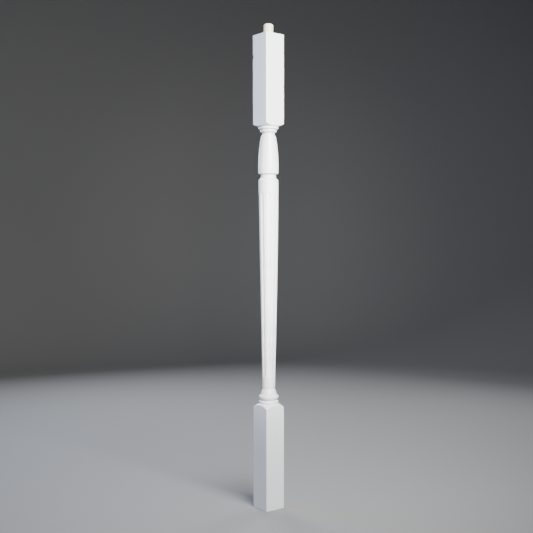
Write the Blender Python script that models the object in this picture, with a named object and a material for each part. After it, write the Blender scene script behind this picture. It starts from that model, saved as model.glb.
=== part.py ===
"""A wooden stair baluster: square stock, turned and fluted between its two square blocks, with a round
pin glued into the end of the upper block. Metres, +Z up, standing on the end of its plain block."""

import math

import bmesh
import bpy

MM = 0.001

# The square stock. Its long edges, the arrises, are eased, and so are the edges of its two ends.
STOCK_SIDE = 44.45 * MM
ARRIS_RADIUS = 1.4 * MM
END_EASE = 0.4 * MM

# The lengths of the members, named from the foot up. The cone of each shoulder comes out of its slope.
PLAIN_BLOCK_LENGTH = 203.2 * MM
RING_HEIGHT = 6.7 * MM
QUIRK_WIDTH = 1.4 * MM
BEAD_HEIGHT = 9.6 * MM
BELL_HEIGHT = 12.6 * MM
SHAFT_LENGTH = 415.6 * MM
GROOVE_WIDTH = 12.2 * MM
VASE_LENGTH = 75.6 * MM
NECK_LENGTH = 6.4 * MM
SMALL_FILLET_HEIGHT = 5.8 * MM
LARGE_FILLET_HEIGHT = 5.2 * MM
PIN_BLOCK_LENGTH = 176.3 * MM

# The shoulders, where the square runs out into the round: a cone with its outer edge rounded over.
PLAIN_SHOULDER_SLOPE = math.radians(33.5)
PIN_SHOULDER_SLOPE = math.radians(26.0)
SHOULDER_ROUND = 4.5 * MM

# The ring, the quirk, the bead and the bell between the plain block and the shaft.
RING_RADIUS = 19.7 * MM
RING_TOP_RADIUS = 17.4 * MM
RING_ROUND_HEIGHT = 3.4 * MM
RING_CROWN = 0.6 * MM
QUIRK_RADIUS = 16.0 * MM
BEAD_CREST = 3.6 * MM
BELL_FOOT_RADIUS = 16.8 * MM
BELL_CROWN = 0.4 * MM

# The shaft swells from its foot to its head: nearly straight at the head, easing into a straight taper.
# A small cove lets its foot into the bell.
SHAFT_FOOT_RADIUS = 12.95 * MM
SHAFT_HEAD_RADIUS = 19.6 * MM
TAPER_EASE = 112.0 * MM
FOOT_COVE_DEPTH = 0.6 * MM
FOOT_COVE_HEIGHT = 2.5 * MM

# The flutes, ploughed along the shaft with a round-nosed cutter and stopped short of both its ends.
FLUTES = 8
FLUTE_TURN = math.radians(11.25)
FLUTE_CUTTER_RADIUS = 6.35 * MM
FLUTE_DEPTH = 1.25 * MM
FLUTE_FOOT_MARGIN = 23.5 * MM
FLUTE_HEAD_MARGIN = 26.0 * MM

# The groove between the shaft and the vase.
GROOVE_FLOOR_RADIUS = 15.0 * MM
GROOVE_BEVEL_HEIGHT = 4.3 * MM
GROOVE_COVE = 1.8 * MM

# The vase: a short swell above its lip, and a long elliptical draw-in to the neck.
VASE_LIP_RADIUS = 19.5 * MM
VASE_LIP_ROUND = 1.0 * MM
VASE_CREST_RADIUS = 20.0 * MM
VASE_CREST_HEIGHT = 12.0 * MM
VASE_TOP_RADIUS = 14.25 * MM

# The neck and the two fillets under the upper block.
NECK_COVE = 2.1 * MM
SMALL_FILLET_FOOT_RADIUS = 14.0 * MM
SMALL_FILLET_RADIUS = 16.5 * MM
SMALL_FILLET_ROUND = 2.7 * MM
LARGE_FILLET_FOOT_RADIUS = 17.5 * MM
LARGE_FILLET_RADIUS = 19.8 * MM
LARGE_FILLET_ROUND = 2.6 * MM
FILLET_CROWN = 0.6 * MM

# The pin: a length of dowel, its free end chamfered, glued into a blind bore in the end of the block.
PIN_DIAMETER = 19.05 * MM
PIN_REACH = 21.4 * MM
PIN_SEAT_DEPTH = 25.0 * MM
PIN_CHAMFER = 2.2 * MM
GLUE_GAP = 0.3 * MM

# Facets. A flute has columns of points at its edges, its walls and its middle, and one on the ridge.
FLUTE_COLUMNS = (-1.0, -0.5, 0.0, 0.5, 1.0)
FLUTE_END_RINGS = (1.0, 0.85, 0.5)
ARC_STEPS = 4
SWELL_STEPS = 3
BEAD_STEPS = 8
TAPER_STEPS = 12
VASE_STEPS = 10
PIN_SIDES = 48
CUTTER_OVERRUN = 5.0 * MM
CREASE_ANGLE = math.radians(24.0)

PITCH = 2.0 * math.pi / FLUTES
PLAIN_HALF_ANGLE = PITCH / 3.0
CORNER_RADIUS = STOCK_SIDE / math.sqrt(2.0)
QUARTER_RISE = 1.0 - math.sqrt(0.5)


def heights():
    """The height of the foot of each member, stacked from the floor up, and of the top of the stock."""
    stack = [
        ("plain_shoulder", PLAIN_BLOCK_LENGTH),
        ("ring", (CORNER_RADIUS - RING_RADIUS) * math.tan(PLAIN_SHOULDER_SLOPE)),
        ("quirk", RING_HEIGHT),
        ("bead", QUIRK_WIDTH),
        ("bell", BEAD_HEIGHT),
        ("shaft", BELL_HEIGHT),
        ("groove", SHAFT_LENGTH),
        ("vase", GROOVE_WIDTH),
        ("neck", VASE_LENGTH),
        ("small_fillet", NECK_LENGTH),
        ("large_fillet", SMALL_FILLET_HEIGHT),
        ("pin_shoulder", LARGE_FILLET_HEIGHT),
        ("pin_block", (CORNER_RADIUS - LARGE_FILLET_RADIUS) * math.tan(PIN_SHOULDER_SLOPE)),
        ("stock_top", PIN_BLOCK_LENGTH),
    ]
    at = {}
    height = 0.0
    for name, rise in stack:
        height += rise
        at[name] = height
    return at


AT = heights()


def arc(start, end, bulge, steps=ARC_STEPS):
    """The points of a circular arc after its start, as (radius, height). A positive bulge swells outward."""
    middle = ((start[0] + end[0]) / 2.0, (start[1] + end[1]) / 2.0)
    along = (end[0] - start[0], end[1] - start[1])
    chord = math.hypot(*along)
    outward = (along[1] / chord, -along[0] / chord)
    round_radius = ((chord / 2.0) ** 2 + bulge**2) / (2.0 * abs(bulge))
    sweep = 2.0 * math.atan2(chord / 2.0, round_radius - abs(bulge))
    points = []
    for step in range(1, steps + 1):
        turn = sweep * (step / steps - 0.5)
        across = round_radius * math.sin(turn)
        rise = round_radius * math.cos(turn) - (round_radius - abs(bulge))
        rise = math.copysign(rise, bulge)
        points.append(
            (
                middle[0] + along[0] / chord * across + outward[0] * rise,
                middle[1] + along[1] / chord * across + outward[1] * rise,
            )
        )
    return points


def shoulder(inner_radius, inner_height, slope, facing):
    """A shoulder from the round to past the corners of the square. It faces up (+1) or down (-1)."""
    tangent = SHOULDER_ROUND * math.tan((math.pi / 2.0 - slope) / 2.0)
    edge_radius = CORNER_RADIUS - tangent * math.cos(slope)
    edge_height = inner_height - facing * (edge_radius - inner_radius) * math.tan(slope)
    side_height = inner_height - facing * (CORNER_RADIUS - inner_radius) * math.tan(slope)
    side_height -= facing * tangent
    points = [(inner_radius, inner_height), (edge_radius, edge_height)]
    sweep = math.pi / 2.0 - slope
    for step in range(1, ARC_STEPS + 1):
        turn = sweep * (1.0 - step / ARC_STEPS)
        points.append(
            (
                CORNER_RADIUS - SHOULDER_ROUND * (1.0 - math.cos(turn)),
                side_height + facing * SHOULDER_ROUND * math.sin(turn),
            )
        )
    points.append((CORNER_RADIUS + CUTTER_OVERRUN, side_height))
    return points


def shaft_radius(height):
    """The shaft's radius: the drop from its head follows a hyperbola, eased over TAPER_EASE."""
    below_head = AT["groove"] - height
    drop = math.hypot(below_head, TAPER_EASE) - TAPER_EASE
    full_drop = math.hypot(SHAFT_LENGTH, TAPER_EASE) - TAPER_EASE
    return SHAFT_HEAD_RADIUS - (SHAFT_HEAD_RADIUS - SHAFT_FOOT_RADIUS) * drop / full_drop


def vase():
    """The vase's outline: a quarter-round lip, a slight swell to its crest, and part of an ellipse above."""
    lip = (VASE_LIP_RADIUS - VASE_LIP_ROUND, AT["vase"])
    side = (VASE_LIP_RADIUS, AT["vase"] + VASE_LIP_ROUND)
    crest = AT["vase"] + VASE_CREST_HEIGHT
    points = [lip] + arc(lip, side, QUARTER_RISE * VASE_LIP_ROUND, SWELL_STEPS)
    for step in range(1, SWELL_STEPS + 1):
        left = 1.0 - step / SWELL_STEPS
        swell = VASE_CREST_RADIUS - (VASE_CREST_RADIUS - VASE_LIP_RADIUS) * left**2
        points.append((swell, crest - (crest - side[1]) * left))
    draw_in = math.acos(VASE_TOP_RADIUS / VASE_CREST_RADIUS)
    reach = (AT["neck"] - crest) / math.sin(draw_in)
    for step in range(1, VASE_STEPS + 1):
        turn = draw_in * step / VASE_STEPS
        points.append((VASE_CREST_RADIUS * math.cos(turn), crest + reach * math.sin(turn)))
    return points


def lower_members():
    """The outline from the plain block up to the foot of the shaft, as (radius, height)."""
    ring_round = (RING_RADIUS, AT["quirk"] - RING_ROUND_HEIGHT)
    bead_foot = (QUIRK_RADIUS, AT["bead"])
    bell_foot = (BELL_FOOT_RADIUS, AT["bell"])
    crease = (SHAFT_FOOT_RADIUS - FOOT_COVE_DEPTH, AT["shaft"])
    points = shoulder(RING_RADIUS, AT["ring"], PLAIN_SHOULDER_SLOPE, 1.0)[::-1]
    points.append(ring_round)
    points += arc(ring_round, (RING_TOP_RADIUS, AT["quirk"]), RING_CROWN)
    points.append((QUIRK_RADIUS, AT["quirk"]))
    points.append(bead_foot)
    points += arc(bead_foot, bell_foot, BEAD_CREST, BEAD_STEPS)
    points += arc(bell_foot, crease, BELL_CROWN)
    return points


def upper_members():
    """The outline from the head of the shaft up to the pin block, as (radius, height)."""
    floor_end = (GROOVE_FLOOR_RADIUS, AT["vase"] - GROOVE_COVE)
    cove_end = (GROOVE_FLOOR_RADIUS + GROOVE_COVE, AT["vase"])
    small_foot = (SMALL_FILLET_FOOT_RADIUS, AT["small_fillet"])
    small_edge = (SMALL_FILLET_RADIUS, AT["small_fillet"] + SMALL_FILLET_ROUND)
    large_foot = (LARGE_FILLET_FOOT_RADIUS, AT["large_fillet"])
    large_edge = (LARGE_FILLET_RADIUS, AT["large_fillet"] + LARGE_FILLET_ROUND)
    points = [(GROOVE_FLOOR_RADIUS, AT["groove"] + GROOVE_BEVEL_HEIGHT), floor_end]
    points += arc(floor_end, cove_end, -QUARTER_RISE * GROOVE_COVE, SWELL_STEPS)
    points += vase()
    points += arc(points[-1], small_foot, -NECK_COVE)
    points += arc(small_foot, small_edge, FILLET_CROWN)
    points.append((SMALL_FILLET_RADIUS, AT["large_fillet"]))
    points.append(large_foot)
    points += arc(large_foot, large_edge, FILLET_CROWN)
    points += shoulder(LARGE_FILLET_RADIUS, AT["pin_shoulder"], PIN_SHOULDER_SLOPE, -1.0)
    return points


def half_flute_width(radius):
    """Half the width that the cutter opens in a round of this radius, where two circles cross."""
    centre = radius - FLUTE_DEPTH + FLUTE_CUTTER_RADIUS
    along = (centre**2 + radius**2 - FLUTE_CUTTER_RADIUS**2) / (2.0 * centre)
    return math.sqrt(radius**2 - along**2)


def fluted_radius(radius, angle, past_end):
    """The distance from the axis at this angle from a flute's middle, this far past its last full section."""
    centre = radius - FLUTE_DEPTH + FLUTE_CUTTER_RADIUS
    reach = FLUTE_CUTTER_RADIUS**2 - past_end**2 - (centre * math.sin(angle)) ** 2
    if reach <= 0.0:
        return radius
    return min(radius, centre * math.cos(angle) - math.sqrt(reach))


def shaft_stations():
    """The heights of the shaft's rings, each with how far it lies past the flutes' full section, or None."""
    foot, head = AT["shaft"] + FOOT_COVE_HEIGHT, AT["groove"]
    run_out = math.sqrt(FLUTE_CUTTER_RADIUS**2 - (FLUTE_CUTTER_RADIUS - FLUTE_DEPTH) ** 2)
    low_full = AT["shaft"] + FLUTE_FOOT_MARGIN + run_out
    high_full = head - FLUTE_HEAD_MARGIN - run_out
    stations = [(foot, None)]
    stations += [(low_full - run_out * share, run_out * share) for share in FLUTE_END_RINGS]
    for step in range(TAPER_STEPS + 1):
        stations.append((low_full + (high_full - low_full) * step / TAPER_STEPS, 0.0))
    stations += [(high_full + run_out * share, run_out * share) for share in FLUTE_END_RINGS[::-1]]
    stations.append((head, None))
    return stations


def ring_of_points(radius, height, past_end=None):
    """One ring of the turned body: the columns stand at the middle, the walls and the edges of each flute."""
    half_angle = PLAIN_HALF_ANGLE
    if past_end is not None:
        half_angle = math.asin(half_flute_width(radius) / radius)
    points = []
    for flute in range(FLUTES):
        middle = FLUTE_TURN + flute * PITCH
        offsets = [share * half_angle for share in FLUTE_COLUMNS] + [PITCH / 2.0]
        for offset in offsets:
            reach = radius if past_end is None else fluted_radius(radius, offset, past_end)
            around = middle + offset
            points.append((reach * math.cos(around), reach * math.sin(around), height))
    return points


def round_of_points(radius, height):
    """One plain ring of the pin or of its bore."""
    turns = [2.0 * math.pi * side / PIN_SIDES for side in range(PIN_SIDES)]
    return [(radius * math.cos(turn), radius * math.sin(turn), height) for turn in turns]


def square_of_points(side, height):
    """One ring of the square stock, its four corners rounded to the arris radius."""
    straight = side / 2.0 - ARRIS_RADIUS
    points = []
    for corner in range(4):
        start = corner * math.pi / 2.0
        centre_x = math.copysign(straight, math.cos(start + math.pi / 4.0))
        centre_y = math.copysign(straight, math.sin(start + math.pi / 4.0))
        for step in range(ARC_STEPS + 1):
            turn = start + math.pi / 2.0 * step / ARC_STEPS
            points.append(
                (centre_x + ARRIS_RADIUS * math.cos(turn), centre_y + ARRIS_RADIUS * math.sin(turn), height)
            )
    return points


def loft(name, rings):
    """A closed object through rings of equal counts, counter-clockwise from above, from the lowest up."""
    mesh = bpy.data.meshes.new(name)
    shape = bmesh.new()
    rows = [[shape.verts.new(point) for point in ring] for ring in rings]
    count = len(rings[0])
    for low, high in zip(rows, rows[1:]):
        for side in range(count):
            following = (side + 1) % count
            shape.faces.new((low[side], low[following], high[following], high[side]))
    shape.faces.new(rows[0][::-1])
    shape.faces.new(rows[-1])
    bmesh.ops.triangulate(shape, faces=[face for face in shape.faces if len(face.verts) > 4])
    shape.to_mesh(mesh)
    shape.free()
    made = bpy.data.objects.new(name, mesh)
    bpy.context.scene.collection.objects.link(made)
    return made


def cut(body, cutter, operation):
    """An exact Boolean of the body with a hidden cutter."""
    cutter.hide_render = True
    cutter.display_type = "WIRE"
    boolean = body.modifiers.new(cutter.name, "BOOLEAN")
    boolean.operation = operation
    boolean.object = cutter
    boolean.solver = "EXACT"


def finish(name, colour, roughness):
    """A plain finish for one kind of surface."""
    material = bpy.data.materials.new(name)
    material.use_nodes = True
    shader = material.node_tree.nodes["Principled BSDF"]
    shader.inputs["Base Color"].default_value = (*colour, 1.0)
    shader.inputs["Roughness"].default_value = roughness
    shader.inputs["Metallic"].default_value = 0.0
    return material


def shade(made):
    """Smooth shading that breaks at the turned creases and the arrises."""
    made.data.shade_smooth()
    made.data.set_sharp_from_angle(angle=CREASE_ANGLE)


def turned_body():
    """The lathe's own shape: the turned members, with room for the square blocks above and below them."""
    outer = CORNER_RADIUS + CUTTER_OVERRUN
    rings = [ring_of_points(outer, -CUTTER_OVERRUN)]
    rings += [ring_of_points(radius, height) for radius, height in lower_members()]
    rings += [ring_of_points(shaft_radius(height), height, past) for height, past in shaft_stations()]
    rings += [ring_of_points(radius, height) for radius, height in upper_members()]
    rings.append(ring_of_points(outer, AT["stock_top"] + CUTTER_OVERRUN))
    turning = loft("turning", rings)
    shade(turning)
    return turning


def baluster():
    """The square stock, kept where the turned body leaves it, and bored for the pin."""
    eased = STOCK_SIDE - 2.0 * END_EASE
    rings = [
        square_of_points(eased, 0.0),
        square_of_points(STOCK_SIDE, END_EASE),
        square_of_points(STOCK_SIDE, AT["stock_top"] - END_EASE),
        square_of_points(eased, AT["stock_top"]),
    ]
    body = loft("baluster", rings)
    bore_radius = PIN_DIAMETER / 2.0 + GLUE_GAP
    bore_floor = AT["stock_top"] - PIN_SEAT_DEPTH - GLUE_GAP
    bore = loft(
        "pin_bore",
        [
            round_of_points(bore_radius, bore_floor),
            round_of_points(bore_radius, AT["stock_top"] + CUTTER_OVERRUN),
        ],
    )
    body.data.materials.append(finish("white_paint", (0.86, 0.87, 0.88), 0.42))
    shade(body)
    shade(bore)
    cut(body, turned_body(), "INTERSECT")
    cut(body, bore, "DIFFERENCE")


def dowel_pin():
    """The round pin, seated in its bore and standing out of the end of the block."""
    radius = PIN_DIAMETER / 2.0
    foot = AT["stock_top"] - PIN_SEAT_DEPTH
    tip = AT["stock_top"] + PIN_REACH
    pin = loft(
        "dowel_pin",
        [
            round_of_points(radius - PIN_CHAMFER, foot),
            round_of_points(radius, foot + PIN_CHAMFER),
            round_of_points(radius, tip - PIN_CHAMFER),
            round_of_points(radius - PIN_CHAMFER, tip),
        ],
    )
    pin.data.materials.append(finish("bare_wood", (0.78, 0.75, 0.62), 0.6))
    shade(pin)


def clear_scene():
    for old in list(bpy.data.objects):
        bpy.data.objects.remove(old, do_unlink=True)


clear_scene()
baluster()
dowel_pin()
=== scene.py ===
import math

import bpy
from mathutils import Matrix, Vector


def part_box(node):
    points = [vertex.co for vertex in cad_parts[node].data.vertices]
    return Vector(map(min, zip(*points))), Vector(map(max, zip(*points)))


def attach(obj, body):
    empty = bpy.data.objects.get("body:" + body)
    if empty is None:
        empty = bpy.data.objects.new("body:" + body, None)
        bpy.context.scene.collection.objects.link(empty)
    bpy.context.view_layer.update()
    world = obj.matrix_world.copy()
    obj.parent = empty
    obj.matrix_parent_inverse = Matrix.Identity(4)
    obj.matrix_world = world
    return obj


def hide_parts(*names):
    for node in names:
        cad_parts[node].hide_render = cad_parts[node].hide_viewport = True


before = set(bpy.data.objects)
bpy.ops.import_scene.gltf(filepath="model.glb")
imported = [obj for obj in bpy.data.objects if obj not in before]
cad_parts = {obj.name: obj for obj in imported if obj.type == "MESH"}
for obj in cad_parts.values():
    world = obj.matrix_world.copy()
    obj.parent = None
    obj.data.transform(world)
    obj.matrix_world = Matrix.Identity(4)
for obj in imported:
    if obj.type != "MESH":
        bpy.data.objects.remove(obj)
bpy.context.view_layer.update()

# The baluster: one length of square hardwood stock, turned between its two square blocks, fluted along
# the shaft with a round-nosed cutter, sanded, and painted white all over. The paint rounds every crease
# and arris a little. It stands on the end of its plain block.
MM = 0.001
stock_side = 44.45 * MM
stock_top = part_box("baluster")[1].z
arris_radius = 1.5 * MM
end_ease = 0.4 * MM
corner_radius = stock_side / math.sqrt(2.0)
past_corner = corner_radius + 5.0 * MM  # a turned radius that leaves the stock square

plain_block_length = 203.2 * MM
ring_height = 6.7 * MM
quirk_width = 1.4 * MM
bead_height = 9.6 * MM
bell_height = 12.6 * MM
shaft_length = 415.6 * MM
groove_width = 12.2 * MM
vase_length = 75.6 * MM
neck_length = 6.4 * MM
small_fillet_height = 5.8 * MM
large_fillet_height = 5.2 * MM

plain_shoulder_slope = math.radians(33.5)
pin_shoulder_slope = math.radians(26.0)
shoulder_round = 4.5 * MM

ring_radius = 19.7 * MM
ring_top_radius = 17.4 * MM
ring_crown_height = 3.4 * MM
ring_crown = 0.6 * MM
quirk_radius = 16.0 * MM
bead_swell = 3.6 * MM
bell_foot_radius = 16.8 * MM
bell_swell = 0.4 * MM
shaft_foot_radius = 12.95 * MM
foot_cove_height = 2.5 * MM
foot_cove_depth = 0.6 * MM
shaft_head_radius = 19.6 * MM
taper_ease = 112.0 * MM
groove_slope_height = 4.3 * MM
groove_floor_radius = 15.0 * MM
groove_cove = 1.8 * MM
vase_lip_round = 1.0 * MM
vase_lip_radius = 19.5 * MM
vase_crest_radius = 20.0 * MM
vase_crest_height = 12.0 * MM
vase_top_radius = 14.25 * MM
neck_cove_depth = 2.1 * MM
small_fillet_foot_radius = 14.0 * MM
small_fillet_radius = 16.5 * MM
small_swell_height = 2.7 * MM
large_fillet_foot_radius = 17.5 * MM
large_fillet_radius = 19.8 * MM
large_swell_height = 2.6 * MM
fillet_swell = 0.6 * MM

flutes = 8
flute_turn = math.radians(11.25)
flute_cutter_radius = 6.35 * MM
flute_depth = 1.25 * MM
flute_foot_margin = 23.5 * MM
flute_head_margin = 26.0 * MM

nick_height = 902.5 * MM
nick_depth = 1.2 * MM
bow = 0.5 * MM
bore_radius = 9.6 * MM
bore_depth = 25.3 * MM
paint_round = 0.35 * MM

columns = 192
fine_step = 0.7 * MM
flute_end_step = 0.4 * MM
plain_step = 5.0 * MM
coarse_step = 14.0 * MM


def heights():
    """The height of the foot of each member, stacked from the floor up."""
    stack = [
        ("plain_shoulder", plain_block_length),
        ("ring", (corner_radius - ring_radius) * math.tan(plain_shoulder_slope)),
        ("quirk", ring_height),
        ("bead", quirk_width),
        ("bell", bead_height),
        ("shaft", bell_height),
        ("groove", shaft_length),
        ("vase", groove_width),
        ("neck", vase_length),
        ("small_fillet", neck_length),
        ("large_fillet", small_fillet_height),
        ("pin_shoulder", large_fillet_height),
    ]
    at = {}
    height = 0.0
    for name, rise in stack:
        height += rise
        at[name] = height
    return at


at = heights()


def arc(start, end, bulge, steps):
    """The points of a circular arc after its start, as (radius, height). A positive bulge swells outward."""
    middle = ((start[0] + end[0]) / 2.0, (start[1] + end[1]) / 2.0)
    along = (end[0] - start[0], end[1] - start[1])
    chord = math.hypot(*along)
    outward = (along[1] / chord, -along[0] / chord)
    round_radius = ((chord / 2.0) ** 2 + bulge**2) / (2.0 * abs(bulge))
    sweep = 2.0 * math.atan2(chord / 2.0, round_radius - abs(bulge))
    points = []
    for step in range(1, steps + 1):
        turn = sweep * (step / steps - 0.5)
        across = round_radius * math.sin(turn)
        rise = math.copysign(round_radius * math.cos(turn) - (round_radius - abs(bulge)), bulge)
        points.append(
            (
                middle[0] + along[0] / chord * across + outward[0] * rise,
                middle[1] + along[1] / chord * across + outward[1] * rise,
            )
        )
    return points


def shoulder(inner_radius, inner_height, slope, facing):
    """A shoulder from the round to past the corners of the square. It faces up (+1) or down (-1)."""
    tangent = shoulder_round * math.tan((math.pi / 2.0 - slope) / 2.0)
    edge_radius = corner_radius - tangent * math.cos(slope)
    edge_height = inner_height - facing * (edge_radius - inner_radius) * math.tan(slope)
    side_height = inner_height - facing * (corner_radius - inner_radius) * math.tan(slope)
    side_height -= facing * tangent
    points = [(inner_radius, inner_height), (edge_radius, edge_height)]
    sweep, steps = math.pi / 2.0 - slope, 8
    for step in range(1, steps + 1):
        turn = sweep * (1.0 - step / steps)
        points.append(
            (
                corner_radius - shoulder_round * (1.0 - math.cos(turn)),
                side_height + facing * shoulder_round * math.sin(turn),
            )
        )
    points.append((corner_radius + paint_round * 2.0, side_height - facing * paint_round))
    points.append((past_corner, side_height - facing * paint_round * 3.0))
    return points


def shaft_radius(height):
    """The shaft's radius: the drop from its head follows a hyperbola, eased over taper_ease."""
    below_head = at["groove"] - height
    drop = math.hypot(below_head, taper_ease) - taper_ease
    full_drop = math.hypot(shaft_length, taper_ease) - taper_ease
    return shaft_head_radius - (shaft_head_radius - shaft_foot_radius) * drop / full_drop


def lower_members():
    """The outline from the plain block up to the foot of the shaft, as (radius, height)."""
    ring_round = (ring_radius, at["quirk"] - ring_crown_height)
    bead_foot = (quirk_radius, at["bead"])
    bell_foot = (bell_foot_radius, at["bell"])
    crease = (shaft_foot_radius - foot_cove_depth, at["shaft"])
    points = shoulder(ring_radius, at["ring"], plain_shoulder_slope, 1.0)[::-1]
    points.append(ring_round)
    points += arc(ring_round, (ring_top_radius, at["quirk"]), ring_crown, 8)
    points.append((quirk_radius, at["quirk"]))
    points.append(bead_foot)
    points += arc(bead_foot, bell_foot, bead_swell, 22)
    points += arc(bell_foot, crease, bell_swell, 16)
    return points


def shaft():
    """The shaft's outline from its small foot cove to its head, with close rows at the flutes' ends."""
    foot, head = at["shaft"] + foot_cove_height, at["groove"]
    close, clear = 1.0 * MM, 3.0 * MM
    heights_up = [foot, foot + fine_step]
    for low, high, step in (
        (foot + 2.0 * clear, flute_foot - clear, plain_step),
        (flute_foot - close, low_full + flute_end_step, flute_end_step),
        (low_full + 2.0 * close, high_full - 2.0 * close, coarse_step),
        (high_full - flute_end_step, flute_head + close, flute_end_step),
        (flute_head + clear, head - clear, plain_step),
    ):
        count = max(2, math.ceil((high - low) / step) + 1)
        heights_up += [low + (high - low) * index / (count - 1) for index in range(count)]
    return [(shaft_radius(height), height) for height in heights_up]


def upper_members():
    """The outline from the head of the shaft up to the pin block, as (radius, height)."""
    quarter_rise = 1.0 - math.sqrt(0.5)
    slope_end = (groove_floor_radius, at["groove"] + groove_slope_height)
    floor_end = (groove_floor_radius, at["vase"] - groove_cove)
    cove_end = (groove_floor_radius + groove_cove, at["vase"])
    lip = (vase_lip_radius - vase_lip_round, at["vase"])
    side = (vase_lip_radius, at["vase"] + vase_lip_round)
    crest = at["vase"] + vase_crest_height
    points = [(shaft_head_radius, at["groove"]), slope_end, floor_end]
    points += arc(floor_end, cove_end, -quarter_rise * groove_cove, 6)
    points.append(lip)
    points += arc(lip, side, quarter_rise * vase_lip_round, 5)
    swell_steps = 6
    for step in range(1, swell_steps + 1):
        left = 1.0 - step / swell_steps
        swell = vase_crest_radius - (vase_crest_radius - vase_lip_radius) * left**2
        points.append((swell, crest - (crest - side[1]) * left))
    draw_in = math.acos(vase_top_radius / vase_crest_radius)
    reach = (at["neck"] - crest) / math.sin(draw_in)
    vase_steps = 26
    for step in range(1, vase_steps + 1):
        turn = draw_in * step / vase_steps
        points.append((vase_crest_radius * math.cos(turn), crest + reach * math.sin(turn)))
    small_foot = (small_fillet_foot_radius, at["small_fillet"])
    small_edge = (small_fillet_radius, at["small_fillet"] + small_swell_height)
    large_foot = (large_fillet_foot_radius, at["large_fillet"])
    large_edge = (large_fillet_radius, at["large_fillet"] + large_swell_height)
    points += arc(points[-1], small_foot, -neck_cove_depth, 12)
    points += arc(small_foot, small_edge, fillet_swell, 6)
    points.append((small_fillet_radius, at["large_fillet"]))
    points.append(large_foot)
    points += arc(large_foot, large_edge, fillet_swell, 6)
    points += shoulder(large_fillet_radius, at["pin_shoulder"], pin_shoulder_slope, -1.0)
    return points


def softened(points, round_radius, crease=math.radians(20.0)):
    """The outline with each crease sharper than this angle turned into a short arc, as paint leaves it."""
    most_of_side, steps = 0.4, 3
    result = [points[0]]
    for before, corner, after in zip(points, points[1:], points[2:]):
        middle = Vector(corner)
        back = Vector(before) - middle
        ahead = Vector(after) - middle
        bend = math.pi - back.angle(ahead, math.pi)
        if bend < crease:
            result.append(corner)
            continue
        longest = most_of_side * min(back.length, ahead.length)
        cut = min(round_radius * math.tan(bend / 2.0), longest)
        start = middle + back.normalized() * cut
        end = middle + ahead.normalized() * cut
        for step in range(steps + 1):
            share = step / steps
            result.append(tuple(start.lerp(middle, share).lerp(middle.lerp(end, share), share)))
    result.append(points[-1])
    return result


def spaced(points, step, left_as_they_are=(0.0, 0.0)):
    """The outline with its long straight runs split, and a support point near each end of them."""
    support, long_run = 0.35 * MM, 1.2 * MM
    result = [points[0]]
    for low, high in zip(points, points[1:]):
        low, high = Vector(low), Vector(high)
        run = (high - low).length
        if run > step and not left_as_they_are[0] < (low.y + high.y) / 2.0 < left_as_they_are[1]:
            count = math.floor(run / step)
            inner = [index / count for index in range(1, count)]
            if run > long_run:
                inner = [support / run, *inner, 1.0 - support / run]
            result += [tuple(low.lerp(high, share)) for share in inner]
        result.append(tuple(high))
    return result


run_out = math.sqrt(flute_cutter_radius**2 - (flute_cutter_radius - flute_depth) ** 2)
flute_foot = at["shaft"] + flute_foot_margin
flute_head = at["groove"] - flute_head_margin
low_full = flute_foot + run_out
high_full = flute_head - run_out


def painted_rows():
    """The rows of the painted surface, from the middle of the underside to the floor of the pin's bore.

    Each is (radius of the turned form, inset of the square form, height). The lists of numbers only share
    the flat faces out into rows, in millimetres or in shares of the ease.
    """
    turned = softened(lower_members() + shaft() + upper_members(), paint_round)
    turned = spaced(turned, fine_step, (at["shaft"] + 3.0 * MM, at["groove"] - 1.0 * MM))
    end_inset = 3.0 * MM
    insets = (8.0, 2.0, 1.3)
    ease_steps = 3
    eased = []
    for step in range(ease_steps + 1):
        turn = math.pi / 2.0 * step / ease_steps
        eased.append((end_ease * (1.0 - math.sin(turn)), end_ease * (1.0 - math.cos(turn))))

    rows = [(radius * MM, end_inset, 0.0) for radius in (0.3, 6.0, 13.0, 18.0)]
    rows += [(past_corner, inset * end_ease, 0.0) for inset in insets]
    rows += [(past_corner, inset, rise) for inset, rise in eased]
    for height in (0.35, 4.0, 30.0, 60.0, 90.0, 120.0, 150.0, 180.0, 192.0):
        rows.append((past_corner, 0.0, end_ease + height * MM))
    rows += [(radius, 0.0, height) for radius, height in turned]
    block_foot = turned[-1][1]
    pin_block = [block_foot + height * MM for height in (10.0, 25.0, 50.0, 75.0, 100.0, 150.0, 165.0, 172.0)]
    round_nick = [nick_height + height * MM for height in range(-8, 6)]
    rows += [(past_corner, 0.0, height) for height in sorted(pin_block + round_nick)]
    rows += [(past_corner, inset, stock_top - drop) for inset, drop in reversed(eased)]
    rows += [(past_corner, inset * end_ease, stock_top) for inset in reversed(insets)]
    rows += [(radius * MM, end_inset, stock_top) for radius in (18.0, 14.0)]
    for past_bore, drop in ((0.6 * MM, 0.0), (0.1 * MM, 0.05 * MM), (0.0, 0.4 * MM), (0.0, bore_depth)):
        rows.append((bore_radius + past_bore, end_inset, stock_top - drop))
    return rows


def hollows(rows):
    """How far each row lies below the highest stretch of the outline near it, from 0 to 1."""
    reach, slack, full_depth = 4.0 * MM, 0.1 * MM, 3.5 * MM
    depth = []
    for radius, inset, height in rows:
        near = [other[0] for other in rows if abs(other[2] - height) < reach and other[0] < corner_radius]
        below = max(near, default=radius) - radius
        depth.append(min(1.0, max(0.0, (below - slack) / full_depth)))
    return depth


def outline(name, rows):
    """A line of points that carries the rows of a turned piece for the tree below."""
    mesh = bpy.data.meshes.new(name)
    mesh.from_pydata(rows, [(low, low + 1) for low in range(len(rows) - 1)], [])
    mesh.attributes.new("hollow", "FLOAT", "POINT").data.foreach_set("value", hollows(rows))
    made = bpy.data.objects.new(name, mesh)
    bpy.context.scene.collection.objects.link(made)
    return made


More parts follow.
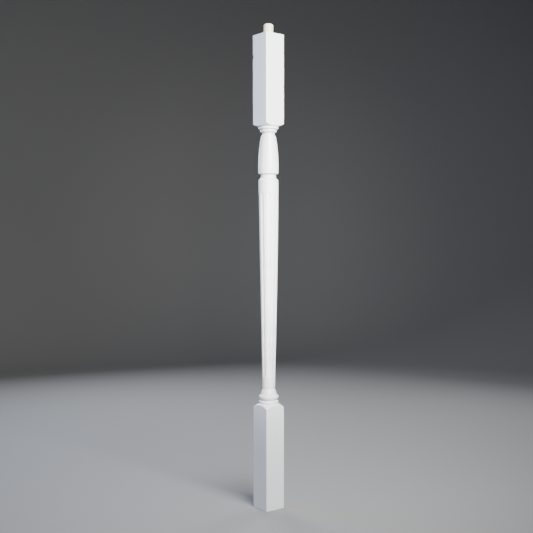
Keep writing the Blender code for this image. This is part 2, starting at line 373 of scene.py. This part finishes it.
class Term:
    """A socket or a number in a node tree, so that a sum is written as an expression."""

    def __init__(self, tree, value):
        self.tree, self.value = tree, value

    def node(self, kind, settings=None, values=None, output=0):
        """A node of this type with its settings and the values or links of its sockets."""
        made = self.tree.nodes.new(kind)
        for key, setting in (settings or {}).items():
            setattr(made, key, setting)
        for key, value in (values or {}).items():
            socket = made.inputs[key]
            value = value.value if isinstance(value, Term) else value
            if isinstance(value, bpy.types.NodeSocket):
                self.tree.links.new(value, socket)
            else:
                socket.default_value = value
        return Term(self.tree, made.outputs[output])

    def math(self, operation, *others, first=None):
        """A Math node on this and the others, in this order unless another comes first."""
        values = dict(enumerate((self if first is None else first, *others)))
        return self.node("ShaderNodeMath", {"operation": operation}, values)

    def __add__(self, other):
        return self.math("ADD", other)

    def __radd__(self, other):
        return self.math("ADD", other)

    def __sub__(self, other):
        return self.math("SUBTRACT", other)

    def __rsub__(self, other):
        return self.math("SUBTRACT", self, first=other)

    def __mul__(self, other):
        return self.math("MULTIPLY", other)

    def __rmul__(self, other):
        return self.math("MULTIPLY", other)

    def __truediv__(self, other):
        return self.math("DIVIDE", other)

    def __rtruediv__(self, other):
        return self.math("DIVIDE", self, first=other)

    def least(self, other):
        return self.math("MINIMUM", other)

    def most(self, other):
        return self.math("MAXIMUM", other)

    def smooth(self, low, high):
        """0 below low, 1 above high, and a soft rise between."""
        settings = {"interpolation_type": "SMOOTHSTEP"}
        return self.node("ShaderNodeMapRange", settings, {0: self, 1: low, 2: high, 3: 0.0, 4: 1.0})

    def blend(self, start, end):
        """start where this is 0 and end where it is 1."""
        return start + (end - start) * self

    def soft_least(self, other, width):
        """The lesser of two, with the corner between them rounded over this width."""
        gap = (self - other).math("ABSOLUTE")
        bite = (width - gap).most(0.0)
        return self.least(other) - bite * bite / (width * 4.0)


def turning_tree():
    """The tree that spins an outline into a closed piece, squares it to the stock and ploughs its flutes."""
    tree = bpy.data.node_groups.new("turned_from_square_stock", "GeometryNodeTree")
    sockets = [
        ("Outline", "NodeSocketGeometry"),
        ("Columns", "NodeSocketInt"),
        ("Stock Side", "NodeSocketFloat"),
        ("Arris Radius", "NodeSocketFloat"),
        ("Flutes", "NodeSocketInt"),
        ("Flute Turn", "NodeSocketFloat"),
        ("Cutter Radius", "NodeSocketFloat"),
        ("Flute Depth", "NodeSocketFloat"),
        ("Flute Foot", "NodeSocketFloat"),
        ("Flute Head", "NodeSocketFloat"),
        ("Nick Height", "NodeSocketFloat"),
        ("Nick Depth", "NodeSocketFloat"),
        ("Bow", "NodeSocketFloat"),
        ("Bow Foot", "NodeSocketFloat"),
        ("Bow Head", "NodeSocketFloat"),
        ("Paint Round", "NodeSocketFloat"),
        ("Finish", "NodeSocketMaterial"),
    ]
    for name, kind in sockets:
        tree.interface.new_socket(name=name, in_out="INPUT", socket_type=kind)
    tree.interface.new_socket(name="Piece", in_out="OUTPUT", socket_type="NodeSocketGeometry")
    given = tree.nodes.new("NodeGroupInput")
    size = {name: Term(tree, given.outputs[name]) for name, kind in sockets}
    start = Term(tree, 0.0)

    count = start.node("GeometryNodeAttributeDomainSize", {"component": "MESH"}, {0: size["Outline"]})
    last = count - 1.0
    around = {"Vertices": size["Columns"], "Side Segments": last, "Radius": 1.0, "Depth": 1.0}
    blank = start.node("GeometryNodeMeshCylinder", {"fill_type": "NGON"}, around)
    place = start.node("GeometryNodeInputPosition")
    split = tree.nodes.new("ShaderNodeSeparateXYZ")
    tree.links.new(place.value, split.inputs[0])
    across, along, up = (Term(tree, split.outputs[axis]) for axis in range(3))
    row = ((up + 0.5) * last).math("ROUND")
    turn = along.math("ARCTAN2", across)

    def read(kind, value):
        values = {"Geometry": size["Outline"], "Value": value, "Index": row}
        return start.node("GeometryNodeSampleIndex", {"data_type": kind, "domain": "POINT"}, values)

    spot = tree.nodes.new("ShaderNodeSeparateXYZ")
    tree.links.new(read("FLOAT_VECTOR", place).value, spot.inputs[0])
    radius, inset, height = (Term(tree, spot.outputs[axis]) for axis in range(3))
    stored = start.node("GeometryNodeInputNamedAttribute", {"data_type": "FLOAT"}, {"Name": "hollow"})
    dip = read("FLOAT", stored)

    # Columns crowd towards the arrises on the blocks. On the shaft they stand on the edges of each flute,
    # with five of every eight inside it.
    pitch = 2.0 * math.pi / size["Flutes"]
    cutter, depth = size["Cutter Radius"], size["Flute Depth"]
    run = (cutter * cutter - (cutter - depth) * (cutter - depth)).math("SQRT")
    low, high = size["Flute Foot"], size["Flute Head"]
    centre = radius - depth + cutter
    chord = (centre * centre + radius * radius - cutter * cutter) / (2.0 * centre)
    half_flute = (chord / radius).least(1.0).math("ARCCOSINE")
    flute_share = 5.0 / 8.0
    in_pitch = (turn - size["Flute Turn"]).math("WRAP", pitch * 0.5, pitch * -0.5)
    reach = in_pitch.math("ABSOLUTE") / (pitch * 0.5)
    inside = (reach / flute_share).least(1.0) * half_flute
    outside = (reach - flute_share).most(0.0) / (1.0 - flute_share) * (pitch * 0.5 - half_flute)
    drawn = (inside + outside) * in_pitch.math("SIGN")
    to_flutes = drawn - in_pitch
    crowding = 0.14
    to_arris = (turn * 4.0).math("SINE") * crowding
    far, close = 16.0 * MM, 2.0 * MM
    on_shaft = height.smooth(low - far, low - close) * (1.0 - height.smooth(high + close, high + far))
    angle = turn + on_shaft.blend(to_arris, to_flutes)
    in_flute = (angle - size["Flute Turn"]).math("WRAP", pitch * 0.5, pitch * -0.5)

    # The square: a straight side, and an arc at the arris.
    half = size["Stock Side"] * 0.5 - inset
    arris = size["Arris Radius"]
    quarter = math.pi / 4.0
    from_face = angle.math("WRAP", quarter, -quarter).math("ABSOLUTE")
    cosine, sine = from_face.math("COSINE"), from_face.math("SINE")
    flat = half / cosine
    straight = half - arris
    skew = straight * (cosine - sine)
    rounded = straight * (cosine + sine) + (arris * arris - skew * skew).most(0.0).math("SQRT")
    on_arris = (half * sine / cosine).math("GREATER_THAN", straight)
    square = on_arris.blend(flat, rounded)

    # The flute: the nearer wall of the cutter's round nose, which runs out in a round end. Paint softens
    # the flute's edges half as far as the line where the round meets the square.
    past = (low + run - height).most(height - high + run).most(0.0)
    sideways = centre * in_flute.math("SINE")
    nose = (cutter * cutter - past * past - sideways * sideways).most(0.0).math("SQRT")
    floor = centre * in_flute.math("COSINE") - nose
    fluted = radius.soft_least(floor, size["Paint Round"] * 0.8)
    reached = fluted.soft_least(square, size["Paint Round"] * 1.6)

    # A shallow nick knocked out of one arris, steeper on its upper side.
    nick_below, nick_above, nick_core = 7.0 * MM, 4.0 * MM, 0.5 * MM
    nick_flat_turn, nick_edge_turn = 0.012, 0.075
    off_arris = (angle + 3.0 * quarter).math("WRAP", math.pi, -math.pi).math("ABSOLUTE")
    across_nick = 1.0 - off_arris.smooth(nick_flat_turn, nick_edge_turn)
    above = height - size["Nick Height"]
    along_nick = above.smooth(-nick_below, -nick_core) * (1.0 - above.smooth(nick_core, nick_above))
    reached = reached - across_nick * along_nick * size["Nick Depth"]

    # The slender part has bowed a little to one side since it was turned.
    bow_x, bow_y = 0.61, 0.79
    along_bow = (height - size["Bow Foot"]) / (size["Bow Head"] - size["Bow Foot"])
    bent = (along_bow.most(0.0).least(1.0) * math.pi).math("SINE") * size["Bow"]
    x = reached * angle.math("COSINE") + bent * bow_x
    y = reached * angle.math("SINE") + bent * bow_y
    spun = start.node("ShaderNodeCombineXYZ", None, {0: x, 1: y, 2: height})
    piece = start.node("GeometryNodeSetPosition", None, {"Geometry": blank, "Position": spun})

    # What the finishes read: how hollow a place is, in the creases and in the flutes, where the paint takes
    # painted shade; whether it is turned; and whether it is a cut end.
    on_turned = (square - fluted).smooth(0.0, 1.0 * MM)
    scoop = ((radius - fluted) / depth.most(0.1 * MM)).least(1.0)
    marks = {
        "hollow": dip.most(scoop * 0.35) * on_turned,
        "turned": on_turned,
        "end": inset.smooth(0.0, 0.3 * MM),
    }
    on_points = {"data_type": "FLOAT", "domain": "POINT"}
    for name, value in marks.items():
        values = {"Geometry": piece, "Name": name, "Value": value}
        piece = start.node("GeometryNodeStoreNamedAttribute", on_points, values)
    piece = start.node("GeometryNodeSetShadeSmooth", None, {"Geometry": piece, "Shade Smooth": True})
    piece = start.node("GeometryNodeRealizeInstances", None, {"Geometry": piece})
    piece = start.node("GeometryNodeSetMaterial", None, {"Geometry": piece, "Material": size["Finish"]})
    result = tree.nodes.new("NodeGroupOutput")
    tree.links.new(piece.value, result.inputs["Piece"])
    return tree


turning = turning_tree()


def turn_piece(name, rows, **sizes):
    """One finished piece from its outline, as a plain mesh."""
    line = outline(name + "_outline", rows)
    modifier = line.modifiers.new("turning", "NODES")
    modifier.node_group = turning
    for item in turning.interface.items_tree:
        key = item.name.lower().replace(" ", "_")
        if item.in_out == "INPUT" and key in sizes:
            modifier[item.identifier] = sizes[key]
    line.update_tag()
    ready = line.evaluated_get(bpy.context.evaluated_depsgraph_get())
    mesh = bpy.data.meshes.new_from_object(ready)
    mesh.name = name
    made = bpy.data.objects.new(name, mesh)
    bpy.context.scene.collection.objects.link(made)
    bpy.data.objects.remove(line, do_unlink=True)
    return made


def blank_material(name, colour, roughness):
    """A new material with its shader's fixed values, as (material, shader, starting term)."""
    material = bpy.data.materials.new(name)
    material.use_nodes = True
    shader = material.node_tree.nodes["Principled BSDF"]
    shader.inputs["Base Color"].default_value = (*colour, 1.0)
    shader.inputs["Roughness"].default_value = roughness
    return material, shader, Term(material.node_tree, 0.0)


def growth_rings(start, where, scale):
    """Growth rings round a heart outside the stock, as a cut end shows them."""
    heart = (0.031, 0.012, 0.0)
    off_heart = start.node("ShaderNodeMapping", None, {"Vector": where, "Location": heart})
    bent = {"Vector": off_heart, "Scale": scale, "Distortion": 1.2, "Detail": 2.0, "Detail Scale": 1.5}
    settings = {"wave_type": "RINGS", "rings_direction": "Z", "wave_profile": "SAW"}
    return start.node("ShaderNodeTexWave", settings, bent, 1)


def painted_wood():
    """White satin paint: faint grain, sanding rings where it spun, growth rings on its cut ends, and painted
    shade in its creases and flutes.
    """
    clean_white = (0.85, 0.864, 0.892, 1.0)
    # The darker white stands for painted shade in the hollows, the paint's own uneven tone and the grain of
    # the cut ends.
    shade_and_tone_white = (0.65, 0.656, 0.672, 1.0)
    material, shader, start = blank_material("white_paint", (0.84, 0.853, 0.88), 0.36)
    shader.inputs["IOR"].default_value = 1.48
    shader.inputs["Coat Weight"].default_value = 0.6
    shader.inputs["Coat Roughness"].default_value = 0.32
    where = start.node("ShaderNodeTexCoord", None, None, "Object")

    def streaks(scale, detail, size):
        stretched = start.node("ShaderNodeMapping", None, {"Vector": where, "Scale": size})
        values = {"Vector": stretched, "Scale": scale, "Detail": detail, "Roughness": 0.6}
        return start.node("ShaderNodeTexNoise", None, values)

    def mark(name):
        return start.node("ShaderNodeAttribute", {"attribute_name": name}, None, "Fac")

    turned = mark("turned")
    hollow = mark("hollow")
    cut_end = mark("end") * growth_rings(start, where, 120.0)
    grain = streaks(900.0, 4.0, (1.0, 1.0, 0.03))
    rings = streaks(1400.0, 2.0, (0.02, 0.02, 1.0))
    mottle = streaks(24.0, 2.0, (1.0, 1.0, 0.5))
    stipple = streaks(2600.0, 2.0, (1.0, 1.0, 1.0))
    # The paint is darker where the outline is hollow, in creases and flutes: painted shade. The mottle is
    # the paint's own uneven tone, and the cut ends show their growth rings.
    tint = (hollow * 0.55 + (mottle - 0.5) * 0.16 + cut_end * 0.30 + 0.06).most(0.0).least(1.0)
    colour = start.node("ShaderNodeMix", {"data_type": "RGBA"}, {0: tint, 6: clean_white, 7: shade_and_tone_white}, 2)
    roughness = 0.34 + (grain - 0.5) * 0.10 + (mottle - 0.5) * 0.08 + hollow * 0.12
    relief = grain * (1.0 - turned * 0.45) * 0.5 + rings * turned * 0.35 + stipple * 0.25 + cut_end * 1.2
    bump = start.node("ShaderNodeBump", None, {"Strength": 0.16, "Distance": 0.0003, "Height": relief})
    for socket, link in (("Base Color", colour), ("Roughness", roughness), ("Normal", bump)):
        material.node_tree.links.new(link.value, shader.inputs[socket])
    return material


baluster = turn_piece(
    "painted_baluster",
    painted_rows(),
    columns=columns,
    stock_side=stock_side,
    arris_radius=arris_radius,
    flutes=flutes,
    flute_turn=flute_turn,
    cutter_radius=flute_cutter_radius,
    flute_depth=flute_depth,
    flute_foot=flute_foot,
    flute_head=flute_head,
    nick_height=nick_height,
    nick_depth=nick_depth,
    bow=bow,
    bow_foot=at["bead"],
    bow_head=at["groove"],
    paint_round=paint_round,
    finish=painted_wood(),
)
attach(baluster, "root")
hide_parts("baluster")

# The pin: a short length of pale hardwood dowel, its end chamfered, glued into the bore and left bare
# so that it seats tightly in the hole it is made for.
pin_low, pin_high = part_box("dowel_pin")
pin_radius = (pin_high.x - pin_low.x) / 2.0
pin_chamfer = 2.2 * MM
pin_round = 0.9 * MM
pin_step = 1.6 * MM
pin_columns = 128


def pin_rows():
    """The pin's rows from its seated end to its tip."""
    end_radius = pin_radius - pin_chamfer
    line = [(0.2 * MM, pin_low.z), (end_radius, pin_low.z), (pin_radius, pin_low.z + pin_chamfer)]
    line += [(pin_radius, pin_high.z - pin_chamfer), (end_radius, pin_high.z)]
    line += [(radius * MM, pin_high.z) for radius in (5.0, 2.5, 0.2)]
    return [(radius, 0.0, height) for radius, height in spaced(softened(line, pin_round), pin_step)]


def bare_wood():
    """Pale sanded dowel: straight fine grain down its side, growth rings and open pores on its end."""
    pale_growth = (0.84, 0.82, 0.62, 1.0)
    dark_growth = (0.64, 0.57, 0.36, 1.0)
    material, shader, start = blank_material("bare_wood", (0.78, 0.75, 0.62), 0.6)
    where = start.node("ShaderNodeTexCoord", None, None, "Object")
    growth = growth_rings(start, where, 220.0)
    drawn_out = start.node("ShaderNodeMapping", None, {"Vector": where, "Scale": (1.0, 1.0, 0.04)})
    pores = start.node("ShaderNodeTexNoise", None, {"Vector": drawn_out, "Scale": 2200.0, "Detail": 3.0})
    blotch = start.node("ShaderNodeTexNoise", None, {"Vector": where, "Scale": 110.0, "Detail": 2.0})
    tint = (growth * 0.30 + (pores - 0.5) * 0.7 + (blotch - 0.5) * 0.5 + 0.25).most(0.0).least(1.0)
    colour = start.node("ShaderNodeMix", {"data_type": "RGBA"}, {0: tint, 6: pale_growth, 7: dark_growth}, 2)
    roughness = 0.62 + (pores - 0.5) * 0.2
    relief = pores * 0.7 + growth * 0.3
    bump = start.node("ShaderNodeBump", None, {"Strength": 0.35, "Distance": 0.0003, "Height": relief})
    for socket, link in (("Base Color", colour), ("Roughness", roughness), ("Normal", bump)):
        material.node_tree.links.new(link.value, shader.inputs[socket])
    return material


# The pin is round all the way, so its square stands clear of it and its flutes end below its foot.
pin = turn_piece(
    "dowel_pin_bare",
    pin_rows(),
    columns=pin_columns,
    stock_side=4.0 * pin_radius,
    arris_radius=1.0 * MM,
    flutes=flutes,
    flute_turn=0.0,
    cutter_radius=flute_cutter_radius,
    flute_depth=flute_depth,
    flute_foot=0.0,
    flute_head=-20.0 * MM,
    nick_height=0.0,
    nick_depth=0.0,
    bow=0.0,
    bow_foot=0.0,
    bow_head=1.0,
    paint_round=paint_round,
    finish=bare_wood(),
)
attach(pin, "root")
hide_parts("dowel_pin")

# The floor: a plain pale surface under the baluster, which curves up all round into a plain wall, so that
# no edge or horizon shows behind the baluster from any side.
view_turn = math.radians(52.08)
to_right = Vector((math.cos(view_turn), math.sin(view_turn), 0.0))
to_back = Vector((-math.sin(view_turn), math.cos(view_turn), 0.0))
flat_radius, curve_radius, wall_top = 2.1, 1.1, 3.6
paper_grey = (0.27, 0.27, 0.273)


def round_backdrop():
    """The floor and its wall, turned round the baluster from one line of points."""
    line = [(flat_radius * share, 0.0) for share in (0.05, 0.15, 0.4, 0.7, 1.0)]
    steps, sides = 20, 96
    for step in range(1, steps + 1):
        turn = math.pi / 2.0 * step / steps
        line.append((flat_radius + curve_radius * math.sin(turn), curve_radius * (1.0 - math.cos(turn))))
    line.append((flat_radius + curve_radius, wall_top))
    points, faces = [], [tuple(range(sides))]
    for radius, height in line:
        for side in range(sides):
            turn = 2.0 * math.pi * side / sides
            points.append((radius * math.cos(turn), radius * math.sin(turn), height))
    for row in range(len(line) - 1):
        inner, outer = row * sides, (row + 1) * sides
        for side in range(sides):
            beside = (side + 1) % sides
            faces.append((inner + side, outer + side, outer + beside, inner + beside))
    mesh = bpy.data.meshes.new("floor")
    mesh.from_pydata(points, [], faces)
    mesh.shade_smooth()
    made = bpy.data.objects.new("floor", mesh)
    bpy.context.scene.collection.objects.link(made)
    return made


floor = round_backdrop()
paper, paper_shader = blank_material("pale_paper", paper_grey, 0.9)[:2]
paper_shader.inputs["Specular IOR Level"].default_value = 0.1
floor.data.materials.append(paper)


# The light: a wide soft light close in front, above and to the right, a narrow one straight in front for
# the turned part, a weak blue one from the left, two from behind that keep the back readable, and a faint
# even light all round. The lights don't show.
def soft_light(name, turn, away, up, width, height, power, colour, spread=180.0, aim_height=0.7):
    """An area light at this many degrees right of the camera's line, aimed at this height."""
    data = bpy.data.lights.new(name, "AREA")
    data.shape = "RECTANGLE"
    data.size, data.size_y = width, height
    data.energy = power
    data.color = colour
    data.spread = math.radians(spread)
    lamp = bpy.data.objects.new(name, data)
    bearing = math.radians(turn)
    level = to_right * math.sin(bearing) - to_back * math.cos(bearing)
    lamp.location = level * away + Vector((0.0, 0.0, up))
    lamp.visible_camera = False
    aim = Vector((0.0, 0.0, aim_height)) - lamp.location
    lamp.rotation_euler = aim.to_track_quat("-Z", "Y").to_euler()
    bpy.context.scene.collection.objects.link(lamp)


warm_white, cool_white, white = (1.0, 0.99, 0.98), (0.94, 0.97, 1.0), (1.0, 1.0, 1.0)
sky_blue = (0.14, 0.44, 1.0)
soft_light(
    "key", turn=24.0, away=0.82, up=1.0, width=0.6, height=0.46, power=22.0, colour=warm_white, spread=120.0
)
soft_light(
    "strip",
    turn=2.0,
    away=0.5,
    up=0.47,
    width=0.1,
    height=0.42,
    power=0.5,
    colour=white,
    spread=36.0,
    aim_height=0.47,
)
soft_light("left_fill", turn=-110.0, away=1.4, up=1.0, width=0.6, height=1.0, power=7.0, colour=sky_blue)
soft_light("back_left", turn=205.0, away=1.6, up=1.2, width=0.9, height=1.0, power=24.0, colour=cool_white)
soft_light("back_right", turn=145.0, away=1.5, up=1.1, width=0.5, height=1.0, power=9.0, colour=warm_white)

world = bpy.data.worlds.new("even_light")
world.use_nodes = True
background = world.node_tree.nodes["Background"]
background.inputs["Color"].default_value = (0.90, 0.95, 1.0, 1.0)
background.inputs["Strength"].default_value = 0.07
bpy.context.scene.world = world

# The camera stands at the photograph's viewing angle: a corner of the blocks towards it, a little above
# the middle of the baluster and looking slightly down.
image_width = 533.0
focal_pixels = 873.8
film_width = 36.0
camera_distance = 1.745
camera_height = 0.5353
tilt_down, pan, roll = math.radians(1.65), math.radians(-0.133), math.radians(0.044)
flat_right = to_right * math.cos(pan) - to_back * math.sin(pan)
ahead = (to_right * math.sin(pan) + to_back * math.cos(pan)) * math.cos(tilt_down)
ahead = ahead - Vector((0.0, 0.0, math.sin(tilt_down)))
upward = flat_right.cross(ahead)
camera_right = flat_right * math.cos(roll) - upward * math.sin(roll)
camera_up = flat_right * math.sin(roll) + upward * math.cos(roll)
lens = bpy.data.cameras.new("camera")
lens.sensor_width = film_width
lens.lens = focal_pixels / image_width * film_width
lens.clip_start = 0.05
camera = bpy.data.objects.new("camera", lens)
spot = -to_back * camera_distance + Vector((0.0, 0.0, camera_height))
turned_axes = Matrix((camera_right, camera_up, -ahead)).transposed().to_4x4()
camera.matrix_world = Matrix.Translation(spot) @ turned_axes
bpy.context.scene.collection.objects.link(camera)
bpy.context.scene.camera = camera
